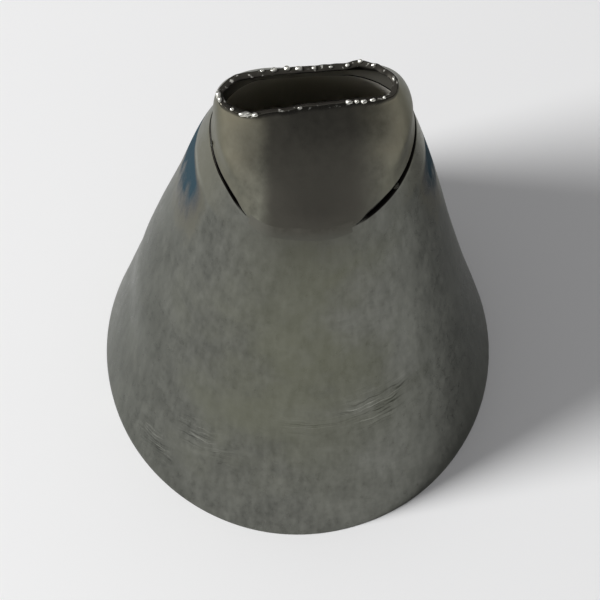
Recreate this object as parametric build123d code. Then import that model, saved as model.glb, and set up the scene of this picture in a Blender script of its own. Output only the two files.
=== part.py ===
from build123d import *
import os
from math import cos, degrees, pi, radians, sin, tanh

# A piping nozzle for a flat ribbon of icing. A thin steel cone carries a short head that goes from round to a
# narrow slot. The head is butted on the cone's neck: weld closes the joint at the front and back, and at the
# sides it stays a hair open, bridged by two small tacks.
# Millimetres. The base rim is in the plane z = 0, the mouth is up, the slot runs along X and -Y is the front.

# The cone, measured on its outside.
base_radius = 9.0
neck_radius = 3.84
neck_height = 28.75
sheet = 0.25

# The head. Its mouth is the slot, measured on the outside too.
head_height = 4.25
mouth_width = 7.05
mouth_depth = 1.75
mouth_end_length = 1.2
bend_rise = 0.35
bend_reach = 0.35
flat_reach = 2.0

# The back leans forward in a straight line from this height up to the mouth.
back_bend_height = 21.5
back_bend_reach = 3.0

# The joint between cone and head. It is lower at the front than at the back, and a little lower on the right,
# where it gapes more.
joint_tip = 2.2
joint_drop = 0.6
left_gap = 0.22
right_gap = 0.35

# The weld and the tacks, as turns about the axis from the front, positive to the right.
front_weld_turns = (-38.0, 24.0)
rear_weld_turns = (145.0, 215.0)
right_tack_turn = 55.0
left_tack_turn = -82.0
tack_width = 0.45
tack_stand = 0.06

# The outlines and points that shape the sheet.
back_outlines = 7
head_outlines = 7
outline_points = 24
flat_sharpness = 2.4
half_turn = 180

mouth_height = neck_height + head_height
cone_slope = (base_radius - neck_radius) / neck_height
tip_slant = joint_tip / (2 * neck_radius)
joint_slant = -joint_drop / (2 * neck_radius)
foot_slant = joint_slant + (right_gap - left_gap) / (2 * neck_radius)
foot_height = neck_height + (left_gap + right_gap) / 2
above_joint = neck_height + (joint_tip + joint_drop) / 2


def cone_radius(height):
    return base_radius - cone_slope * height


def past_bend(distance, reach):
    # How far a point is past a soft bend: nothing before it, all the distance after it, a parabola between.
    if distance <= -reach:
        return 0
    if distance < reach:
        return (distance + reach) ** 2 / (4 * reach)
    return distance


# How much more than the cone each side leans in on its way to the mouth.
mouth_cone_radius = cone_radius(mouth_height)
head_lean_run = mouth_height - foot_height - bend_rise
side_lean = (mouth_cone_radius - mouth_width / 2) / head_lean_run
front_lean = (mouth_cone_radius - mouth_depth / 2) / head_lean_run
back_lean = (mouth_cone_radius - mouth_depth / 2) / (mouth_height - back_bend_height)


def outline(level, slant_x, slant_y, rise, inset):
    # One closed outline of the sheet, at a level on the axis and slanting along X and Y. Rise is its height
    # above the joint, and inset draws it in from the outside.
    bent = past_bend(rise - bend_rise, bend_reach)
    flat_share = min(rise / flat_reach, 1)
    flat = (mouth_width / 2 - mouth_end_length) * flat_share ** 2 * (3 - 2 * flat_share)
    points = []
    for step in range(outline_points):
        turn = 2 * pi * step / outline_points
        stretch = flat * tanh(flat_sharpness * cos(turn)) / tanh(flat_sharpness)
        height = level
        for settle in range(6):
            radius = cone_radius(height) - inset
            x = stretch + (radius - side_lean * bent - flat) * cos(turn)
            depth = radius - front_lean * bent
            if sin(turn) > 0:
                depth = radius - back_lean * past_bend(height - back_bend_height, back_bend_reach)
            y = depth * sin(turn)
            height = level + slant_x * x + slant_y * y
        points.append((x, y, height))
    return make_face(Spline(*points, periodic=True))


def cone_half(top):
    # Half of the plain cone's sheet, on the back, from the base up to a level.
    outer = [(cone_radius(0), 0), (cone_radius(top), top)]
    inner = [(cone_radius(top) - sheet, top), (cone_radius(0) - sheet, 0)]
    profile = Plane.XZ * make_face(Polyline(*outer, *inner, close=True))
    return revolve(profile, Axis.Z, revolution_arc=half_turn)


def leaning_half(height, inset):
    # One level outline of the leaning back: half an ellipse that is as wide as the cone but less deep.
    radius = cone_radius(height) - inset
    depth = radius - back_lean * past_bend(height - back_bend_height, back_bend_reach)
    arc = Edge.make_ellipse(radius, depth, Plane.XY.offset(height), start_angle=0, end_angle=half_turn)
    return make_face([arc, Line(arc @ 1, arc @ 0)])


def leaning_form(inset):
    start = back_bend_height - back_bend_reach
    height_step = (above_joint - start) / (back_outlines - 1)
    heights = [start + step * height_step for step in range(back_outlines)]
    return loft([leaning_half(height, inset) for height in heights])


def head_form(inset):
    outlines = []
    for step in range(head_outlines):
        share = step / (head_outlines - 1)
        rise = share * (mouth_height - foot_height)
        slants = ((1 - share) * foot_slant, (1 - share) * tip_slant)
        outlines.append(outline(foot_height + rise, *slants, rise, inset))
    return loft(outlines)


def joint_form(inset):
    # What fills the joint right across, between the cone's end and the head's foot.
    lower = outline(neck_height, joint_slant, tip_slant, 0, inset)
    upper = outline(foot_height, foot_slant, tip_slant, 0, inset)
    return loft([lower, upper], ruled=True)


def cone_body():
    front = Rot(0, 0, half_turn) * cone_half(above_joint)
    lower_back = cone_half(back_bend_height - back_bend_reach)
    upper_back = leaning_form(0) - leaning_form(sheet)
    whole = front + lower_back + upper_back
    joint = Plane(origin=(0, 0, neck_height), z_dir=(-joint_slant, -tip_slant, 1))
    return split(whole, bisect_by=joint, keep=Keep.BOTTOM)


def slot_spout():
    return head_form(0) - head_form(sheet)


def weld(first_turn, last_turn, stand):
    # Weld metal in the joint between two turns about the axis. It stands proud of the outside by stand.
    metal = joint_form(-stand) - joint_form(sheet)
    first = Plane(origin=(0, 0, 0), z_dir=(cos(radians(first_turn)), sin(radians(first_turn)), 0))
    last = Plane(origin=(0, 0, 0), z_dir=(-cos(radians(last_turn)), -sin(radians(last_turn)), 0))
    metal = split(metal, bisect_by=first, keep=Keep.TOP)
    return split(metal, bisect_by=last, keep=Keep.TOP)


def tack(turn):
    # A small bead that bridges the joint and stands a little proud of it.
    reach = degrees(tack_width / 2 / neck_radius)
    return weld(turn - reach, turn + reach, tack_stand)


pieces = {
    "cone_body": cone_body(),
    "slot_spout": slot_spout(),
    "front_weld": weld(*front_weld_turns, 0),
    "rear_weld": weld(*rear_weld_turns, 0),
    "right_tack": tack(right_tack_turn),
    "left_tack": tack(left_tack_turn),
}
os.makedirs("parts", exist_ok=True)
for name, solid in pieces.items():
    export_step(solid, f"parts/{name}.step")
    size = solid.bounding_box().size
    print(f"{name}: {solid.volume:.3f} mm3, {size.X:.2f} x {size.Y:.2f} x {size.Z:.2f} mm")
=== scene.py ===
from math import atan2, cos, degrees, radians, sin, tanh

import bmesh
import bpy
from mathutils import Matrix, Vector, noise


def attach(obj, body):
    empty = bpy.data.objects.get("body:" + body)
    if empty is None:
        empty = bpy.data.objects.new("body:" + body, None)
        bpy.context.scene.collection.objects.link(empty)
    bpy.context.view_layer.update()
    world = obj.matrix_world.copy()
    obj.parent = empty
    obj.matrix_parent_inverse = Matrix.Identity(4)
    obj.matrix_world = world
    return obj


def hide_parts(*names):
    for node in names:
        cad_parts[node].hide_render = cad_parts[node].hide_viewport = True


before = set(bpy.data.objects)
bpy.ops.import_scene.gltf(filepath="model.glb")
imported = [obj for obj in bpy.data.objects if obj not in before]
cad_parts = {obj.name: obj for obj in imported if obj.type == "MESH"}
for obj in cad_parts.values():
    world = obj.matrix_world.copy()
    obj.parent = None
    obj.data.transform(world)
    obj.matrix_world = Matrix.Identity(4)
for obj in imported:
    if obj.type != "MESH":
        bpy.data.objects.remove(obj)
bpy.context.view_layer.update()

MM = 0.001
scene = bpy.context.scene
scene.view_settings.view_transform = "Standard"


# The camera looks down on the front of the nozzle from a hand's width above, a little from the left.
# It is held slightly askew, so the cone leans to the right in the picture.
camera_distance = 150 * MM
camera_azimuth = radians(-6.87)
camera_elevation = radians(71.75)
camera_roll = radians(-2.36)
camera_lens = 200.1
camera_target = Vector((0, 0, 7.39 * MM))
camera_clip = 1 * MM


def aim_camera():
    back = Vector((
        sin(camera_azimuth) * cos(camera_elevation),
        -cos(camera_azimuth) * cos(camera_elevation),
        sin(camera_elevation),
    ))
    side = Vector((cos(camera_azimuth), sin(camera_azimuth), 0))
    up = back.cross(side)
    rolled_side = cos(camera_roll) * side - sin(camera_roll) * up
    rolled_up = sin(camera_roll) * side + cos(camera_roll) * up
    camera = bpy.data.cameras.new("camera")
    camera.lens = camera_lens
    camera.clip_start = camera_clip
    holder = bpy.data.objects.new("camera", camera)
    scene.collection.objects.link(holder)
    turn = Matrix((rolled_side, rolled_up, back)).transposed().to_4x4()
    holder.matrix_world = Matrix.Translation(camera_target + back * camera_distance) @ turn
    scene.camera = holder


aim_camera()


# The cone is one thin sheet of stainless steel, drawn to a taper and tumbled to a dull satin.
# Its base rim is a plain cut edge, and its back leans forward from about two thirds of the way up.
# Its neck is cut lower at the front than at the back, where the head is butted on.
base_radius = 9.0 * MM
neck_radius = 3.84 * MM
neck_height = 28.75 * MM
head_height = 4.25 * MM
sheet = 0.25 * MM
mouth_width = 7.05 * MM
mouth_depth = 1.75 * MM
mouth_end_length = 1.2 * MM
bend_rise = 0.35 * MM
bend_reach = 0.35 * MM
flat_reach = 2.0 * MM
flat_sharpness = 2.4
back_bend_height = 21.5 * MM
back_bend_reach = 3.0 * MM
joint_tip = 2.2 * MM
joint_drop = 0.6 * MM
left_gap = 0.22 * MM
right_gap = 0.35 * MM
mouth_height = neck_height + head_height
cone_slope = (base_radius - neck_radius) / neck_height
tip_slant = joint_tip / (2 * neck_radius)
joint_slant = -joint_drop / (2 * neck_radius)
foot_slant = joint_slant + (right_gap - left_gap) / (2 * neck_radius)
foot_height = neck_height + (left_gap + right_gap) / 2
settle_rounds = 6

# Turns about the axis are in degrees from the front, positive to the right. Each swell has how far it stands
# proud, its turn and reach, and the heights where it starts, is full, starts to fade and ends.
swells = (
    (0.40 * MM, 100, 70, 7 * MM, 27 * MM, 30.2 * MM, 33 * MM),
    (0.26 * MM, -128, 42, 18 * MM, 28 * MM, 30.5 * MM, 33 * MM),
    (0.18 * MM, -95, 42, 7 * MM, 12 * MM, 14 * MM, 20 * MM),
)
front_weld_turns = (-41, 24)
rear_weld_turns = (145, 215)
weld_end_turn = 9
joint_sag = 0.45 * MM
joint_sag_turn = -33
joint_sag_reach = 28
cut_share = 0.75
dent_depth = 0.02 * MM
dent_scale = 0.22 / MM
cone_segments = 360
cone_rings = 84
edge_break = 0.045 * MM
sharp_angle = radians(50)

# Colours of the steel and of what heat, smoke and handling left on it, and painted light and shade: a
# painted highlight line, a pale inside that is painted light, painted shade inside the head, on the gap's
# cut edges and on the tacks, a darker head front that is a painted reflection, and bright beads and glints
# that are painted highlights.
satin_steel = (0.166, 0.167, 0.150)
edge_tint = (0.56, 0.57, 0.55, 1)
oxide_gloss = 0.0
smoke = (0.078, 0.077, 0.064)
joint_smoke = (0.080, 0.077, 0.064)
olive_bloom = (0.162, 0.165, 0.110)
warm_steel = (0.23, 0.22, 0.17)
# A painted highlight: a bright line along the top of the heat colours on both sides.
painted_highlight_steel = (0.40, 0.41, 0.37)
straw_heat = (0.20, 0.18, 0.125)
brown_heat = (0.088, 0.084, 0.092)
blue_heat = (0.030, 0.056, 0.073)
# The inside is duller steel. Its pale colour is painted light that stands in for light reaching the inside.
pale_inside_painted_light = (0.92, 0.89, 0.80)
# The cut edges at the open gap: partly heat-blackened, partly painted shade of the gap.
heat_black_and_gap_shade = (0.010, 0.009, 0.008)
dark_edge_depth = (0.14, 0.08)
bump_strength = 0.2
bump_distance = 0.01 * MM

# Where the smoke, the bloom, the warm steel above the heat and a painted highlight line along the heat's top
# lie: turns and heights, each with its reach, or the two places between which a colour comes in. Heights are
# in millimetres in the materials.
smoke_turn = (-4, 58)
smoke_height = (28, 9)
joint_smoke_turn = (-6, 42)
joint_smoke_depth = (3.2, 0)
bloom_turn = (-6, 56)
bloom_height = (17, 17)
warm_turn = (90, 44)
warm_height = (25.5, 26.1)
highlight_line_turn = (92, 22)
highlight_line_height = (25.95, 0.4)

# The heat begins and is full at these turns on both sides, is weaker towards the back, and lies between the
# first and the last of these heights. From weak to strong it colours the steel straw, brown and blue.
heat_turns = (58, 102)
heat_fade_turns = (115, 180)
heat_fade = 0.35
heat_rise = (18.5, 24.8)
heat_end = (26.2, 25.2)
straw_from = (0.03, 0.30)
brown_from = (0.18, 0.50)
blue_from = (0.30, 0.85)

# The scuffs, by the slant of their lines in radians. Each has its turn and reach, its height and reach, and
# how strong it is.
scuffs = (
    (0.06, ((23, 17, 11.5, 3.2, 1.0), (-3, 16, 11.2, 1.2, 0.8))),
    (-0.5, ((-38, 14, 7.2, 2.5, 0.9), (-56, 9, 3.2, 2.0, 1.0))),
)
stray_slant = 0.5
stray_share = 0.12
scuff_waver = 0.7
scuff_stretch = (0.55, 8.5, 1)
light_lines = (0.57, 0.66)
dark_lines = (0.43, 0.34)


class Wire:
    """One value, colour or vector on its way through a material. Sums on values add their Math nodes."""

    def __init__(self, tree, socket):
        self.tree = tree
        self.socket = socket

    def add(self, kind, inputs, output=0, **settings):
        node = self.tree.nodes.new("ShaderNode" + kind)
        for name, value in settings.items():
            setattr(node, name, value)
        for name, value in inputs.items():
            if isinstance(value, Wire):
                self.tree.links.new(value.socket, node.inputs[name])
            else:
                node.inputs[name].default_value = value
        return Wire(self.tree, node.outputs[output])

    def maths(self, operation, first, second=0.0):
        return self.add("Math", {0: first, 1: second}, operation=operation)

    def __add__(self, other):
        return self.maths("ADD", self, other)

    def __radd__(self, other):
        return self.maths("ADD", other, self)

    def __sub__(self, other):
        return self.maths("SUBTRACT", self, other)

    def __rsub__(self, other):
        return self.maths("SUBTRACT", other, self)

    def __mul__(self, other):
        return self.maths("MULTIPLY", self, other)

    def __rmul__(self, other):
        return self.maths("MULTIPLY", other, self)

    def size(self):
        return self.maths("ABSOLUTE", self)

    def step(self, low, high):
        # A soft step from 0 at low to 1 at high. It falls if low is more than high.
        if low < high:
            inputs = {"Value": self, "From Min": low, "From Max": high}
            return self.add("MapRange", inputs, interpolation_type="SMOOTHSTEP")
        return 1 - self.step(high, low)

    def bump_at(self, middle, reach):
        # 1 at the middle and 0 from a reach away on both sides.
        return (self - middle).size().step(reach, 0)

    def read(self, attribute):
        return self.add("Attribute", {}, output="Fac", attribute_name=attribute)

    def part(self, axis):
        return self.add("SeparateXYZ", {0: self}, output="XYZ".index(axis))

    def mottle(self, scale, stretch=(1, 1, 1), turn=0, detail=3.0, roughness=0.55):
        # Cloudy noise about 0.5 on this vector, in clouds a millimetre, spread by the stretch.
        turned = self.add("Mapping", {"Vector": self, "Rotation": (0, 0, turn)})
        placed = turned.add("Mapping", {"Vector": turned, "Scale": stretch})
        inputs = {"Vector": placed, "Scale": scale, "Detail": detail, "Roughness": roughness}
        return self.add("TexNoise", inputs)

    def tint(self, colour, amount):
        # Moves this colour towards another by an amount that varies over the surface.
        return self.add("Mix", {0: amount, 6: self, 7: (*colour, 1)}, output=2, data_type="RGBA")


def start_steel(name):
    # A bare steel material, and the wire of the place on the object in millimetres.
    material = bpy.data.materials.new(name)
    material.use_nodes = True
    shader = material.node_tree.nodes["Principled BSDF"]
    shader.inputs["Metallic"].default_value = 1.0
    shader.inputs["Specular Tint"].default_value = edge_tint
    shader.inputs["Specular IOR Level"].default_value = oxide_gloss
    start = Wire(material.node_tree, None)
    place = start.add("TexCoord", {}, output="Object")
    return material, place.add("VectorMath", {0: place, "Scale": 1 / MM}, operation="SCALE")


def finish_steel(material, place, colour, shade, tints, roughness, height, metal=None):
    # The colour is shaded, then tinted by each pair of a colour and its amount in turn.
    shaded = {0: 1.0, 6: (*colour, 1), 7: shade}
    wire = place.add("Mix", shaded, output=2, data_type="RGBA", blend_type="MULTIPLY")
    for tint, amount in tints:
        wire = wire.tint(tint, amount)
    bump = {"Strength": bump_strength, "Distance": bump_distance, "Height": height}
    feeds = {"Base Color": wire, "Roughness": roughness, "Normal": place.add("Bump", bump)}
    if metal:
        feeds["Metallic"] = metal
    shader = material.node_tree.nodes["Principled BSDF"]
    for socket, wire in feeds.items():
        material.node_tree.links.new(wire.socket, shader.inputs[socket])
    return material


def turn_wire(place):
    # The turn about the axis in degrees, worked out at each point, so that it jumps cleanly at the back.
    return place.maths("ARCTAN2", place.part("X"), 0 - place.part("Y")) * degrees(1)


def grain(place):
    # The fine grain of tumbled sheet, about 0.
    return place.mottle(3.6, stretch=(1, 1, 0.45), detail=4.0, roughness=0.6) - 0.5


def scratches(place, slant, where):
    # Fine scratches along the sheet, thick where another wire is near 1.
    from_axis = place.add("VectorMath", {0: place, 1: (1, 1, 0)}, operation="MULTIPLY")
    radius = from_axis.add("VectorMath", {0: from_axis}, output="Value", operation="LENGTH")
    along = turn_wire(place) * radius * radians(1)
    on_sheet = place.add("CombineXYZ", {0: along, 1: place.part("Z")})
    waver = place.add("TexNoise", {"Vector": place, "Scale": scuff_waver}, output="Color")
    bent = on_sheet.add("VectorMath", {0: on_sheet, 1: waver}, operation="ADD")
    lines = bent.mottle(1.0, stretch=scuff_stretch, turn=slant)
    return (lines.step(*light_lines) - lines.step(*dark_lines)) * where


def cut_edge(place, side):
    # 1 on the cut edge at the joint's open sides. The edge is blackened by heat and also carries painted
    # shade of the open gap, which thickens the gap's dark line. Side is 1 for the cone's edge and -1 for the
    # head's.
    below = place.read("below_cut") * side + place.mottle(3.0) * 0.04
    return below.step(*dark_edge_depth) * place.read("open")


def cone_radius(height):
    return base_radius - cone_slope * height


def past_bend(distance, reach):
    # How far a point is past a soft bend: nothing before it, all of it after it, a parabola between.
    if distance <= -reach:
        return 0
    if distance < reach:
        return (distance + reach) ** 2 / (4 * reach)
    return distance


def soft_share(distance, reach):
    # 0 before a place, 1 from a reach past it, and a soft step between.
    share = max(0, min(distance / reach, 1))
    return share * share * (3 - 2 * share)


def turn_from_front(point):
    # In degrees, from -180 to 180.
    return degrees(atan2(point.x, -point.y))


def swell(point):
    # The sheet stands a little proud of a plain cone where the welder's pliers and heat have worked it.
    turn = turn_from_front(point)
    total = 0
    for proud, middle, reach, low, full, high, end in swells:
        here = 1 - soft_share(abs(turn - middle), reach)
        risen = soft_share(point.z - low, full - low)
        left = 1 - soft_share(point.z - high, end - high)
        total += proud * here * risen * left
    return total


def sheet_point(turn, level, slant_x, slant_y, rise):
    # A point on the outside of the nozzle, at a turn from the right end in radians, on an outline that
    # crosses the axis at a level and slants along X and Y. Rise is the outline's height above the joint.
    lean_in = cone_radius(mouth_height) - mouth_depth / 2
    head_run = mouth_height - foot_height - bend_rise
    side_lean = (cone_radius(mouth_height) - mouth_width / 2) / head_run
    bent = past_bend(rise - bend_rise, bend_reach)
    flat = (mouth_width / 2 - mouth_end_length) * soft_share(rise, flat_reach)
    stretch = flat * tanh(flat_sharpness * cos(turn)) / tanh(flat_sharpness)
    height = level
    for settle in range(settle_rounds):
        radius = cone_radius(height)
        x = stretch + (radius - side_lean * bent - flat) * cos(turn)
        depth = radius - lean_in / head_run * bent
        if sin(turn) > 0:
            back_bent = past_bend(height - back_bend_height, back_bend_reach)
            depth = radius - lean_in / (mouth_height - back_bend_height) * back_bent
        y = depth * sin(turn)
        height = level + slant_x * x + slant_y * y
    point = Vector((x, y, height))
    return point + Vector((x, y, 0)).normalized() * swell(point)


def open_share(turn):
    # How far the joint is open at a turn: 0 in the welds, and 1 from a little way past their ends.
    past_front = max(turn - front_weld_turns[1], front_weld_turns[0] - turn)
    past_rear = rear_weld_turns[0] - turn % 360 if turn > 0 else turn % 360 - rear_weld_turns[1]
    return soft_share(min(past_front, past_rear), weld_end_turn)


def joint_dip(turn):
    # The cut was made by hand, so it sags a little on the left of the front.
    return joint_sag * (1 - soft_share(abs(turn - joint_sag_turn), joint_sag_reach))


def draw_up(form, segments, rings, place):
    # Draws a ring of the sheet up into a shell. Place gives the point at a turn from the right end and a
    # share of the way up.
    bmesh.ops.create_circle(form, segments=segments, radius=base_radius)
    turn_of = form.verts.layers.float.new("start_turn")
    for vert in form.verts:
        vert[turn_of] = atan2(vert.co.y, vert.co.x)
        vert.co = place(vert[turn_of], 0)
    edges = form.edges[:]
    for step in range(1, rings + 1):
        grown = bmesh.ops.extrude_edge_only(form, edges=edges)["geom"]
        edges = [part for part in grown if isinstance(part, bmesh.types.BMEdge)]
        for vert in grown:
            if isinstance(vert, bmesh.types.BMVert):
                vert.co = place(vert[turn_of], step / rings)


def face_out(form):
    # Turns the faces outwards: seen from the axis, they then bound a volume above zero.
    bmesh.ops.recalc_face_normals(form, faces=form.faces)
    if form.calc_volume(signed=True) < 0:
        bmesh.ops.reverse_faces(form, faces=form.faces)


def give_wall(form, wall, round_by):
    # Gives the shell its thickness inwards and rounds its cut edges. The base's cut is level.
    face_out(form)
    bmesh.ops.solidify(form, geom=form.faces[:], thickness=wall)
    for vert in form.verts:
        vert.co.z = max(vert.co.z, 0)
    face_out(form)
    sharp = [edge for edge in form.edges if edge.is_manifold and edge.calc_face_angle() > sharp_angle]
    bmesh.ops.bevel(form, geom=sharp, offset=round_by, segments=2, profile=0.5, affect="EDGES", material=-1)


def finish_piece(name, form, material, node, cut_height):
    # Each vertex keeps, for the material, its side of the sheet, how far it is below the cut at the joint
    # and how far the joint is open there.
    inside = form.verts.layers.float.new("inside")
    below_cut = form.verts.layers.float.new("below_cut")
    open_here = form.verts.layers.float.new("open")
    form.normal_update()
    for vert in form.verts:
        vert[inside] = vert.normal.xy.dot(vert.co.xy) < 0
        vert[open_here] = open_share(turn_from_front(vert.co))
        vert[below_cut] = (cut_height(vert.co) - vert.co.z) / MM
    mesh = bpy.data.meshes.new(name)
    form.to_mesh(mesh)
    form.free()
    for face in mesh.polygons:
        face.use_smooth = True
    piece = bpy.data.objects.new(name, mesh)
    scene.collection.objects.link(piece)
    mesh.materials.append(material)
    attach(piece, "root")
    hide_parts(node)


def cone_point(turn, share):
    # From the base at share 0 to the cut at share 1. The sheet has shallow dents up to near the cut.
    point = sheet_point(turn, share * neck_height, share * joint_slant, share * tip_slant, 0)
    near_cut = max(0, (share - cut_share) / (1 - cut_share))
    dip = joint_dip(turn_from_front(point)) * near_cut
    point.z -= dip
    dent = dent_depth * (1 - near_cut) * noise.noise(point * dent_scale)
    return point + Vector((cos(turn), sin(turn), 0)) * (dent + dip * cone_slope)


def cone_cut_height(point):
    tipped = neck_height + joint_slant * point.x + tip_slant * point.y
    return tipped - joint_dip(turn_from_front(point))


def scuff_marks(place, turn, broad):
    # The scuffs on the front, and a few stray scratches all over.
    up = place.part("Z")
    marks = scratches(place, stray_slant, broad.step(0.02, 0.2) * stray_share)
    for slant, patches in scuffs:
        where = 0
        for middle, reach, height, height_reach, strength in patches:
            where = where + turn.bump_at(middle, reach) * up.bump_at(height, height_reach) * strength
        marks = marks + scratches(place, slant, where)
    return marks


def cone_steel():
    # A fine grain drawn out along the cone, an olive bloom up the middle of the front, scuffs low on it, and
    # heat colours where the torch came near the joint's open sides.
    material, place = start_steel("cone_satin")
    turn, up, inside = turn_wire(place), place.part("Z"), place.read("inside")
    broad = place.mottle(0.17) - 0.5
    cloud = place.mottle(0.55, stretch=(1, 1, 0.5), detail=4.0) - 0.5
    fine = grain(place)
    streak = place.mottle(2.6, stretch=(1, 1, 0.08), detail=4.0) - 0.5
    marks = scuff_marks(place, turn + cloud * 30, broad)
    shade = 1 + broad * 0.5 + cloud * 0.75 + fine * 0.85 + streak * 0.85 + marks * 0.8
    smoked = turn.bump_at(*smoke_turn) * up.bump_at(*smoke_height)
    below_joint = (place.read("below_cut") + cloud * 1.5).step(*joint_smoke_depth)
    smoked_joint = turn.bump_at(*joint_smoke_turn) * below_joint
    bloom = (turn + broad * 90 + cloud * 60).bump_at(*bloom_turn)
    bloom = bloom * (up + broad * 20 + cloud * 8).bump_at(*bloom_height)
    level = up + cloud * 1.2 + streak * 0.4
    around = (turn.size() + cloud * 16 + broad * 12).step(*heat_turns)
    around = around - turn.size().step(*heat_fade_turns) * heat_fade
    heat = around * (level + streak * 1.2).step(*heat_rise) * level.step(*heat_end)
    heat = heat * (1.15 + streak + cloud)
    warmed = turn.size().bump_at(*warm_turn) * level.step(*warm_height)
    painted_highlight_line = turn.size().bump_at(*highlight_line_turn) * level.bump_at(*highlight_line_height)
    blued = heat.step(*blue_from)
    tints = [
        (smoke, smoked * 0.5),
        (joint_smoke, smoked_joint * 0.6),
        (olive_bloom, bloom * 0.55),
        (warm_steel, warmed * 0.9),
        # The painted highlight line.
        (painted_highlight_steel, painted_highlight_line * 0.8),
        (straw_heat, heat.step(*straw_from) * 0.5),
        (brown_heat, heat.step(*brown_from) * 0.7),
        (blue_heat, blued),
        # Duller inside, with a pale colour that is painted light.
        (pale_inside_painted_light, inside),
        (heat_black_and_gap_shade, cut_edge(place, 1)),
    ]
    metal = (1 - inside * 0.9) * (1 - blued * 0.9)
    roughness = 0.31 + fine * 0.25 + broad * 0.10 - marks * 0.06 + inside * 0.2
    height = streak * 0.4 + fine * 0.6 - marks * 0.6
    return finish_steel(material, place, satin_steel, shade, tints, roughness, height, metal)


def make_cone():
    form = bmesh.new()
    draw_up(form, cone_segments, cone_rings, cone_point)
    give_wall(form, sheet, edge_break)
    finish_piece("cone_shell", form, cone_steel(), "cone_body", cone_cut_height)


make_cone()


# The head is the same steel, pressed from round at its foot to a straight slot at the mouth.
# The press left the ends round. The front flat is painted darker, a painted dark reflection that is darkest
# near its foot.
# The mouth is cut raw: its edge waves a little and carries small beads of metal, painted bright as
# highlights.
head_segments = 480
head_rings = 48
right_gape = 0.07 * MM
right_gape_turn = 43
right_gape_reach = 15
weld_close = 0.92
foot_fade = 6
lip_share = 0.35
burr_depth = 0.03 * MM
burr_reach = 0.30 * MM
burr_scale = 3.6 / MM
burr_lift_scale = burr_scale * 0.4

# How far the lip bows out in millimetres, at turns in degrees from the right end.
lip_offsets = (
    (-181, -0.06), (-135, 0.03), (-113, 0.18), (-100, 0.02), (-90, -0.13), (-76, -0.17), (-58, -0.05),
    (-40, 0.00), (-15, -0.12), (20, -0.17), (46, -0.13), (61, 0.05), (71, 0.17), (78, 0.03), (90, 0.00),
    (118, 0.00), (146, -0.13), (181, -0.06),
)

# The beads: their places along X and Y and their radii in millimetres, and how far each is drawn out.
beads = (
    (-1.70, 0.80, 0.06, 1.6), (-1.26, 0.80, 0.10, 1.3), (-0.76, 0.82, 0.11, 1.1), (-0.32, 0.78, 0.10, 1.4),
    (0.26, 0.76, 0.08, 1.3), (0.90, 0.76, 0.05, 1.8), (1.54, 0.78, 0.08, 1.1), (2.02, 0.90, 0.09, 1.0),
    (2.52, 0.72, 0.06, 1.6), (-2.46, -0.90, 0.10, 2.6), (-2.12, -0.95, 0.09, 1.6), (-2.95, -0.66, 0.06, 1.4),
    (-0.40, -0.80, 0.05, 2.0), (1.46, -0.70, 0.09, 1.6), (1.76, -0.70, 0.08, 1.2), (2.02, -0.72, 0.09, 1.3),
    (2.36, -0.68, 0.07, 1.6), (2.80, -0.62, 0.06, 1.2), (-3.42, -0.04, 0.10, 1.8), (-3.38, -0.24, 0.08, 1.4),
    (3.22, 0.10, 0.06, 1.6),
)
bead_tilt = 0.25
bead_lump = 0.3
bead_lump_scale = 0.7
mouth_end_start = 3

pressed_steel = (0.164, 0.163, 0.134)
straw_steel = (0.23, 0.21, 0.15)
# The front flat's darker tones are a painted dark reflection, darker still near its foot.
painted_reflection_tone = (0.088, 0.083, 0.070)
painted_reflection_foot = (0.070, 0.066, 0.056)
# The head's inside is duller steel. Its pale colour is painted light.
head_inside_painted_light = (0.52, 0.50, 0.43)
# Painted shade inside the head, near the rim and at the mouth's ends.
painted_inner_shade = (0.03, 0.028, 0.024)
raw_edge = (0.045, 0.042, 0.036)
# The beads are real metal. Their bright colour and the glints around them on the rim are painted highlights.
bead_metal_and_glint = (0.80, 0.79, 0.72)

# Where the head's painted dark reflection, straw colour, painted shade inside and painted glints lie, as on
# the cone.
# The painted reflection has its places along X and Y too.
reflection_flat_left = (-2.15, -1.45)
reflection_flat_right = (3.0, 1.3)
reflection_flat_front = (0.2, -0.6)
reflection_flat_rise = (26.7, 28.1)
reflection_flat_foot = (31, 28.5)
straw_turn = (75, 50)
straw_rise = (27.5, 29)
inner_shade_turn = (92, 42)
inner_shade_rise = (31.7, 32.5)
raw_from = (0.3, 0.7)
painted_glint_from = (0.4, 0.8)
painted_glint_grit = (0.60, 0.70)


def extra_gap(turn):
    # The joint gapes widest just below the right tack.
    return right_gape * (1 - soft_share(abs(turn - right_gape_turn), right_gape_reach))


def lip_offset(turn):
    for (before, low), (after, high) in zip(lip_offsets, lip_offsets[1:]):
        if before <= turn <= after:
            return (low + (high - low) * soft_share(turn - before, after - before)) * MM


def foot_drop(point):
    # How far the head's foot lies below a plain slanting cut: nearly down to the cone in the welds.
    around = turn_from_front(point)
    gap = (left_gap + right_gap) / 2 + (right_gap - left_gap) / 2 * point.x / neck_radius
    return joint_dip(around) + weld_close * gap * (1 - open_share(around)) - extra_gap(around)


def head_cut_height(point):
    return foot_height + foot_slant * point.x + tip_slant * point.y - foot_drop(point)


def head_point(turn, share):
    # From the joint at share 0 to the mouth at share 1.
    rise = share * (mouth_height - foot_height)
    level = foot_height + rise
    point = sheet_point(turn, level, foot_slant * (1 - share), tip_slant * (1 - share), rise)
    drop = foot_drop(point) * (1 - share) ** foot_fade
    point.z -= drop
    outward = Vector((cos(turn), sin(turn), 0))
    point += outward * drop * cone_slope
    near_lip = max(0, (share - 1 + lip_share) / lip_share) ** 2
    return point + outward * lip_offset(degrees(turn)) * near_lip


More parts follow.
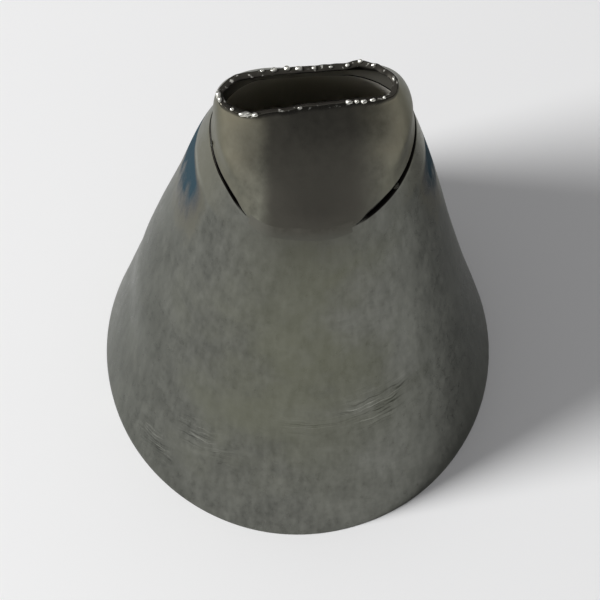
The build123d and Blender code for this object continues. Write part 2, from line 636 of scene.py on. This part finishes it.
def roughen_lip(form):
    # The raw cut: every vertex on or near it moves a little.
    raw_of = form.verts.layers.float.new("raw")
    for vert in form.verts:
        near_lip = 1 - (mouth_height - vert.co.z) / burr_reach
        if near_lip > 0:
            start = vert.co.copy()
            vert[raw_of] = near_lip
            vert.co += vert.normal * burr_depth * near_lip * noise.noise(start * burr_scale)
            vert.co.z += burr_depth * near_lip * noise.noise(start * burr_lift_scale)


def add_beads(form):
    # Small balls of metal on the raw cut, each drawn out along it: across at the mouth's ends.
    bead_of = form.verts.layers.float.new("bead")
    for x, y, radius, length in beads:
        grown = bmesh.ops.create_icosphere(form, subdivisions=3, radius=radius * MM)["verts"]
        spot = Vector((x, y, 0))
        along = Vector((0, 1, 0))
        if abs(x) < mouth_end_start:
            along = Vector((1, bead_tilt * noise.noise(spot), 0))
        for vert in grown:
            vert.co += along * vert.co.dot(along) / along.length_squared * (length - 1)
            vert.co *= 1 + bead_lump * noise.noise((vert.co / radius / MM + spot) * bead_lump_scale)
            vert.co += Vector((x * MM, y * MM, mouth_height))
            vert[bead_of] = 1


def head_steel():
    # Draw lines up the head, the front flat painted darker as a painted reflection, straw heat colour on the
    # sides, a raw edge with painted glints, and a pale inside that is painted light, with painted shade near
    # the rim and at the ends.
    material, place = start_steel("head_satin")
    turn, up, inside = turn_wire(place), place.part("Z"), place.read("inside")
    raw, bead = place.read("raw"), place.read("bead")
    broad = place.mottle(0.35) - 0.5
    cloud = place.mottle(0.9, stretch=(1, 1, 0.6), detail=4.0) - 0.5
    fine = grain(place)
    streak = place.mottle(2.2, stretch=(1, 1, 0.12), detail=4.0) - 0.5
    grit = place.mottle(5.5, detail=2.0)
    shade = 1 + broad * 0.5 + cloud * 0.6 + fine * 1.1 + streak * 0.7
    x = place.part("X") + broad * 0.6
    painted_reflection_flat = x.step(*reflection_flat_left) * x.step(*reflection_flat_right) * place.part("Y").step(*reflection_flat_front)
    painted_reflection_flat = painted_reflection_flat * (up + broad * 0.8).step(*reflection_flat_rise)
    # Painted glints: bright specks on the raw cut that are painted highlights.
    painted_glints = raw.step(*painted_glint_from) * grit.step(*painted_glint_grit)
    straw = (turn.size() + cloud * 30).bump_at(*straw_turn) * (up + cloud * 2).step(*straw_rise)
    tints = [
        (straw_steel, straw * (0.65 + broad)),
        (painted_reflection_tone, painted_reflection_flat * 0.9),
        (painted_reflection_foot, painted_reflection_flat * up.step(*reflection_flat_foot) * 0.9),
        # Duller inside, with a pale colour that is painted light.
        (head_inside_painted_light, inside),
        # Painted shade inside, at the mouth's ends and just under the rim.
        (painted_inner_shade, inside * turn.size().bump_at(*inner_shade_turn)),
        (painted_inner_shade, inside * (up + cloud * 0.6).step(*inner_shade_rise)),
        (raw_edge, raw.step(*raw_from) * 0.85),
        (heat_black_and_gap_shade, cut_edge(place, -1)),
        # Painted highlights on the beads and glints.
        (bead_metal_and_glint, (bead + painted_glints * 0.55).step(0.0, 1.0)),
    ]
    metal = 1 - inside * 0.7 * (1 - bead)
    roughness = 0.34 + fine * 0.25 + broad * 0.08 - raw * 0.12 + inside * 0.2 - bead * 0.1
    height = streak * 0.5 + fine * 0.7 + raw * grit * 2
    return finish_steel(material, place, pressed_steel, shade, tints, roughness, height, metal)


def make_head():
    form = bmesh.new()
    draw_up(form, head_segments, head_rings, head_point)
    give_wall(form, sheet, edge_break)
    form.normal_update()
    roughen_lip(form)
    add_beads(form)
    finish_piece("head_shell", form, head_steel(), "slot_spout", head_cut_height)


make_head()


# The two welds are metal run into the joint at the front and the back, and were ground until they lie flush
# with the sheet. The tacks are small beads that bridge the joint's open sides.
weld_reach = 0.55 * MM
weld_crown = 0.014 * MM
weld_columns = 90
weld_rows = 12
tack_turns = (("right_tack", 54.5), ("left_tack", -82.5))
tack_size = Vector((0.14 * MM, 0.09 * MM, 0.20 * MM))
tack_lump = 0.35
tack_lump_scale = 1.6
tack_sink = 0.55
# Dark to match the head's front, which is a painted dark reflection.
weld_tone_with_painted_reflection = (0.076, 0.072, 0.061)
ground_cone = (0.104, 0.102, 0.088)
weld_end = (0.160, 0.157, 0.135)
# The tacks: heat-blackened, and painted with the shade of the gap they sit in.
heat_black_tack_and_gap_shade = (0.035, 0.033, 0.028)

# Where the weld goes over from the head's tone to the cone's in millimetres below the cut, and the turns of
# the front weld's ends and of the tacks.
ground_blend = (-0.45, 0.45)
weld_end_turns = (20, 34)
tacks_from = (48, 50)
tacks_to = (100, 90)


def joint_point(turn, rise):
    # On the outside of the sheet at a turn from the front in degrees, at a rise above the cone's edge.
    from_right = radians(turn - 90)
    point = sheet_point(from_right, neck_height + rise, joint_slant, tip_slant, max(0, rise - left_gap))
    point.z -= joint_dip(turn)
    return point + Vector((cos(from_right), sin(from_right), 0)) * joint_dip(turn) * cone_slope


def weld_metal():
    # Ground flush, it has the head's darker front tone above the joint, which carries the painted dark
    # reflection, and the cone's
    # below. The tacks are left black: heat colour, and painted shade of the gap.
    material, place = start_steel("weld_satin")
    turn = turn_wire(place).size()
    broad = place.mottle(0.17) - 0.5
    fine = grain(place)
    shade = 1 + broad * 0.5 + fine * 0.9
    below = (place.read("below_cut") + fine * 0.3).step(*ground_blend)
    tints = [
        (ground_cone, below * 0.8),
        (weld_end, turn.step(*weld_end_turns) * 0.9),
        # Heat colour and painted shade of the gap on the tacks.
        (heat_black_tack_and_gap_shade, turn.step(*tacks_from) * turn.step(*tacks_to)),
    ]
    roughness = 0.31 + fine * 0.25 + broad * 0.10
    return finish_steel(material, place, weld_tone_with_painted_reflection, shade, tints, roughness, fine * 0.6)


def make_weld(name, turns, node, metal):
    # A thin strip along the joint, proudest over it and sinking under the sheet all round its edge.
    form = bmesh.new()
    bmesh.ops.create_grid(form, x_segments=weld_columns, y_segments=weld_rows, size=1)
    for vert in form.verts:
        along, across = vert.co.x, vert.co.y
        turn = turns[0] + (turns[1] - turns[0]) * (along + 1) / 2
        point = joint_point(turn, across * weld_reach)
        stand = weld_crown * (1 - 2 * max(across ** 2, along ** 8))
        vert.co = point + Vector((point.x, point.y, 0)).normalized() * stand
    give_wall(form, sheet / 2, edge_break / 4)
    finish_piece(name, form, metal, node, cone_cut_height)


def make_tack(name, turn, metal):
    # A lumpy bead in the joint, sunk by about half of its depth.
    form = bmesh.new()
    bmesh.ops.create_icosphere(form, subdivisions=4, radius=1)
    middle = joint_point(turn, (left_gap + right_gap) / 4)
    out = Vector((middle.x, middle.y, 0)).normalized()
    turned = Matrix.Rotation(radians(turn), 3, "Z")
    for vert in form.verts:
        lump = 1 + tack_lump * noise.noise(vert.co * tack_lump_scale + Vector((turn, 0, 0)))
        vert.co = middle - out * tack_size.y * tack_sink + turned @ (vert.co * tack_size * lump)
    finish_piece(name + "_bead", form, metal, name, cone_cut_height)


metal = weld_metal()
make_weld("front_weld_strip", front_weld_turns, "front_weld", metal)
make_weld("rear_weld_strip", rear_weld_turns, "rear_weld", metal)
for name, turn in tack_turns:
    make_tack(name, turn, metal)


# The nozzle stands on a pale table under a soft lamp on the left and a weaker, larger one overhead.
floor_half = 1.5
floor_colour = (0.90, 0.90, 0.90, 1)
floor_roughness = 0.7
key_place = Vector((-0.38, -0.06, 0.35))
key_size = 0.15
key_power = 2.6
top_place = Vector((0.08, 0.12, 0.60))
top_size = 0.50
top_power = 0.35
room_colour = (0.20, 0.20, 0.205, 1)


def make_floor():
    form = bmesh.new()
    bmesh.ops.create_grid(form, x_segments=1, y_segments=1, size=floor_half)
    mesh = bpy.data.meshes.new("table")
    form.to_mesh(mesh)
    form.free()
    material = bpy.data.materials.new("pale_table")
    material.use_nodes = True
    shader = material.node_tree.nodes["Principled BSDF"]
    shader.inputs["Base Color"].default_value = floor_colour
    shader.inputs["Roughness"].default_value = floor_roughness
    mesh.materials.append(material)
    table = bpy.data.objects.new("table", mesh)
    scene.collection.objects.link(table)


def hang_lamp(name, place, size, power):
    lamp = bpy.data.lights.new(name, "AREA")
    lamp.shape = "DISK"
    lamp.size = size
    lamp.energy = power
    holder = bpy.data.objects.new(name, lamp)
    scene.collection.objects.link(holder)
    holder.location = place
    holder.rotation_euler = place.to_track_quat("Z", "Y").to_euler()


def fill_world():
    world = bpy.data.worlds.new("room")
    world.use_nodes = True
    scene.world = world
    background = world.node_tree.nodes["Background"]
    background.inputs["Color"].default_value = room_colour


make_floor()
hang_lamp("key_lamp", key_place, key_size, key_power)
hang_lamp("top_lamp", top_place, top_size, top_power)
fill_world()
